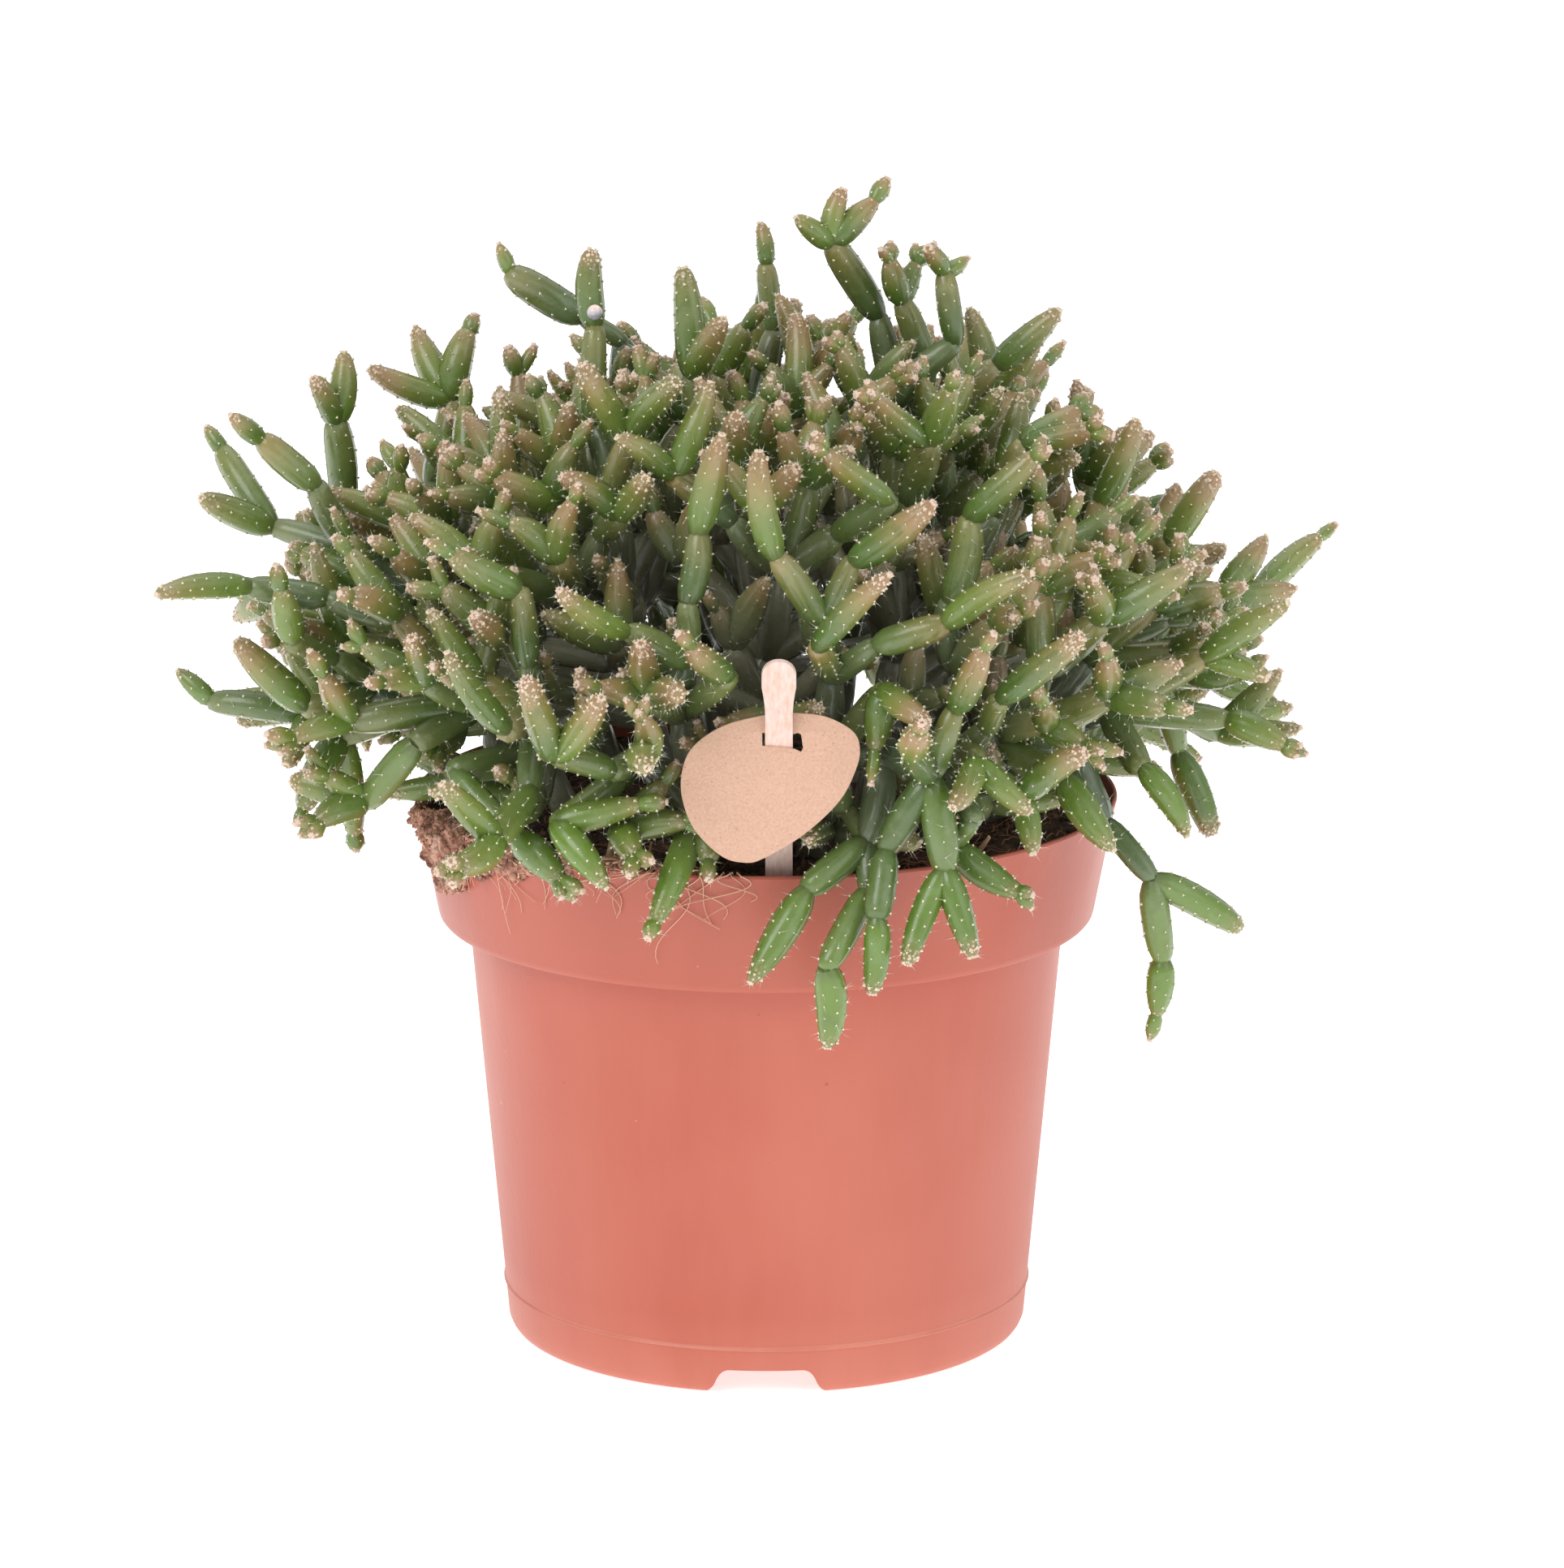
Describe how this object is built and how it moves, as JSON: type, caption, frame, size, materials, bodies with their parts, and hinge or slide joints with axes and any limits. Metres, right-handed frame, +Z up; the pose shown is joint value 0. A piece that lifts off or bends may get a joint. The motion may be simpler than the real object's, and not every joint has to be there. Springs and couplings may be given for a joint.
{
  "type": "potted mistletoe cactus",
  "caption": "Bushy mistletoe cactus with short finger-like jointed stems in a round rimmed plastic nursery pot filled with peat, with a blank card label on a wooden pick.",
  "frame": {"origin": "middle of the pot's foot, on the surface it stands on", "axes": "+Z up, -Y towards the front with the label, +X to the right seen from the front"},
  "size_m": [0.1987, 0.1762, 0.1971],
  "materials": {
    "pot_plastic": "satin",
    "peat": "matte",
    "label_card": "matte",
    "label_pick": "matte",
    "stem": "satin"
  },
  "bodies": {
    "root": {"pot": "pot_plastic", "soil": "peat", "label_card": "label_card", "label_pick": "label_pick", "cutting_01": "stem", "cutting_02": "stem", "cutting_03": "stem", "cutting_04": "stem", "cutting_05": "stem", "cutting_06": "stem", "cutting_07": "stem", "cutting_08": "stem", "cutting_09": "stem", "cutting_10": "stem", "cutting_11": "stem", "cutting_12": "stem", "cutting_13": "stem", "cutting_14": "stem", "cutting_15": "stem", "cutting_16": "stem", "cutting_17": "stem", "cutting_18": "stem", "cutting_19": "stem"}
  },
  "joints": []
}
